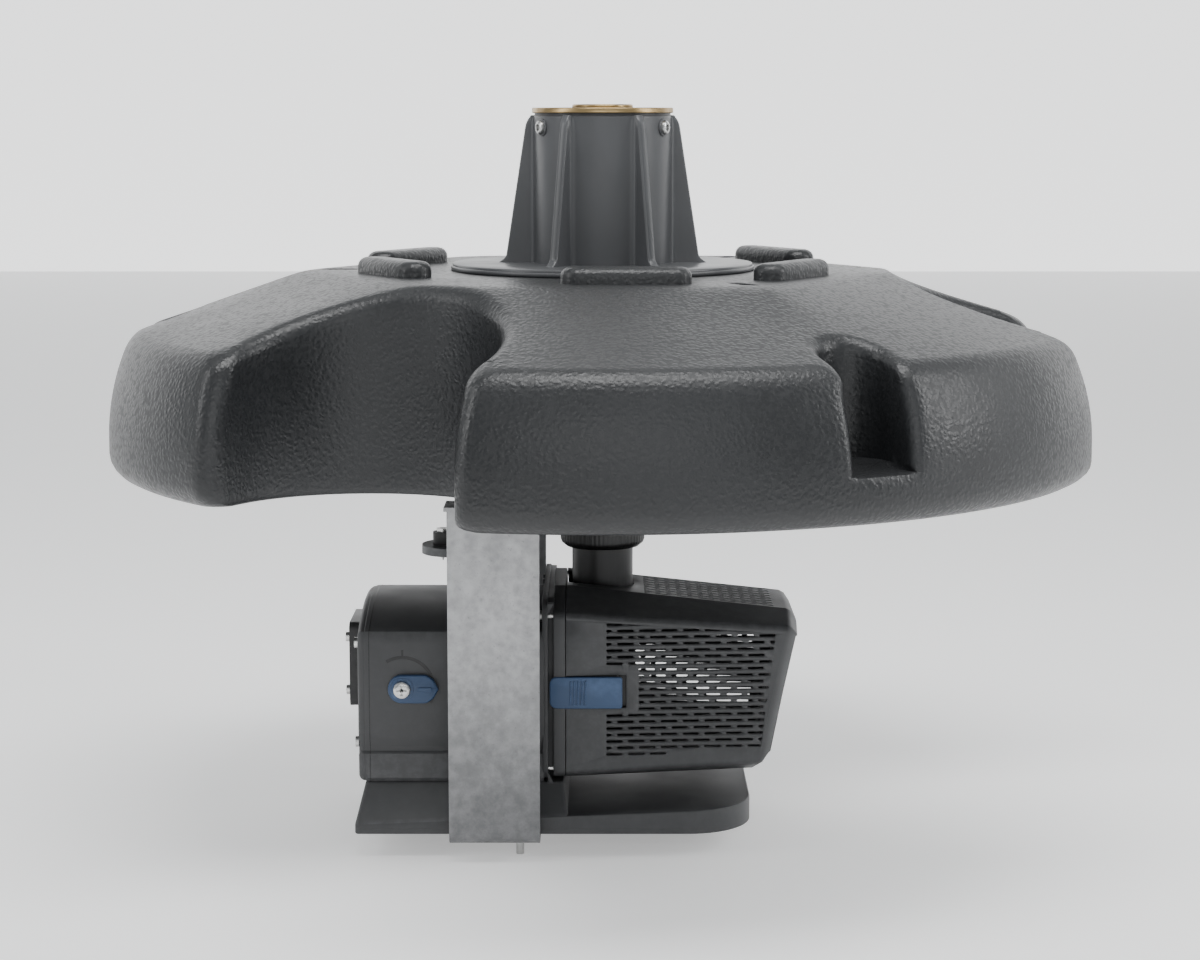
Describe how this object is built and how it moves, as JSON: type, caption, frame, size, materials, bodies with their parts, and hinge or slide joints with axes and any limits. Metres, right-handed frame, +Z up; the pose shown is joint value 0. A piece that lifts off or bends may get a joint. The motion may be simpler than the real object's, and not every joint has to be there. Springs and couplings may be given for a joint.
{
  "type": "floating fountain pump",
  "caption": "Scalloped round float with a finned nozzle tower above, and a strap below that holds a submersible pump in a slotted strainer cage.",
  "frame": {"origin": "on the nozzle's axis, at the water's surface when the float carries the part, 40 mm above the float's flat underside", "axes": "+Z up along the nozzle's axis; the pump's motor axis lies along X with the strainer cage towards +X; the selector faces -Y"},
  "size_m": [0.7189, 0.7299, 0.545],
  "materials": {
    "float_black": "fine pebbled moulded polyethylene, satin",
    "tower_plastic": "satin injection-moulded plastic",
    "pump_grey": "satin moulded plastic",
    "cage_grey": "satin moulded plastic",
    "black_plastic": "satin",
    "pipe_black": "semi-gloss",
    "clamp_grey": "satin",
    "light_plastic": "natural",
    "blue_plastic": "semi-gloss",
    "rubber": "matt",
    "galvanised": "rolled, zinc-coated, dull",
    "stainless": "turned stainless steel",
    "brass": "turned, lightly aged",
    "magnet_metal": "laminated steel",
    "magnet_dark": "ferrite and carbon",
    "copper": "enamelled copper",
    "ceramic_white": "ground ceramic"
  },
  "bodies": {
    "root": {"float_shell": "float_black", "vent_plug": "black_plastic", "float_inserts": "brass", "housing_gasket": "rubber", "nozzle_housing": "tower_plastic", "housing_screws": "stainless", "nozzle_ring": "brass", "nozzle_insert": "brass", "standpipe": "pipe_black", "lock_nut": "pipe_black", "union_nut": "pipe_black", "union_washer": "rubber", "discharge_pipe": "pipe_black", "support_strap": "galvanised", "strap_pads": "rubber", "clamp_knobs": "black_plastic", "knob_studs": "stainless", "cable_clamp_base": "clamp_grey", "cable_clamp_bar": "black_plastic", "cable_clamp_screws": "stainless", "foot_plate": "pump_grey", "foot_bolts": "stainless", "foot_nuts": "stainless", "motor_housing": "pump_grey", "rear_cover": "pump_grey", "rear_cover_screws": "stainless", "terminal_box": "black_plastic", "terminal_box_gasket": "rubber", "terminal_box_screws": "stainless", "terminal_block": "light_plastic", "gland_body": "black_plastic", "gland_seal": "rubber", "gland_nut": "black_plastic", "selector_screw": "stainless", "stator_core": "magnet_metal", "stator_coils": "copper", "rotor_can": "stainless", "motor_shaft": "ceramic_white", "carrier_plate": "pump_grey", "carrier_screws": "stainless", "chamber_seal": "rubber", "pump_chamber": "black_plastic", "chamber_screws": "stainless"},
    "selector": {"selector_lever": "blue_plastic", "selector_magnet": "magnet_metal"},
    "rotor": {"rotor_magnet": "magnet_dark", "rotor_bushes": "magnet_dark", "impeller": "light_plastic"},
    "cage": {"strainer_cage": "cage_grey", "latch_pins": "stainless"},
    "front_latch": {"latch_front": "blue_plastic"},
    "rear_latch": {"latch_rear": "blue_plastic"}
  },
  "joints": [
    {"name": "selector_turn", "type": "hinge", "parent": "root", "child": "selector", "pos_m": [-0.146, -0.0888, -0.196], "axis": [0, -1, 0], "range_deg": [0, 90]},
    {"name": "impeller_spin", "type": "hinge", "parent": "root", "child": "rotor", "pos_m": [-0.1, 0, -0.201], "axis": [1, 0, 0], "continuous": true},
    {"name": "cage_slide", "type": "slide", "parent": "root", "child": "cage", "axis": [1, 0, 0], "range_m": [0, 0.19]},
    {"name": "front_latch_swing", "type": "hinge", "parent": "cage", "child": "front_latch", "pos_m": [0.011, -0.083, -0.1995], "axis": [0, 0, 1], "range_deg": [0, 60]},
    {"name": "rear_latch_swing", "type": "hinge", "parent": "cage", "child": "rear_latch", "pos_m": [0.011, 0.083, -0.1995], "axis": [0, 0, -1], "range_deg": [0, 60]}
  ]
}
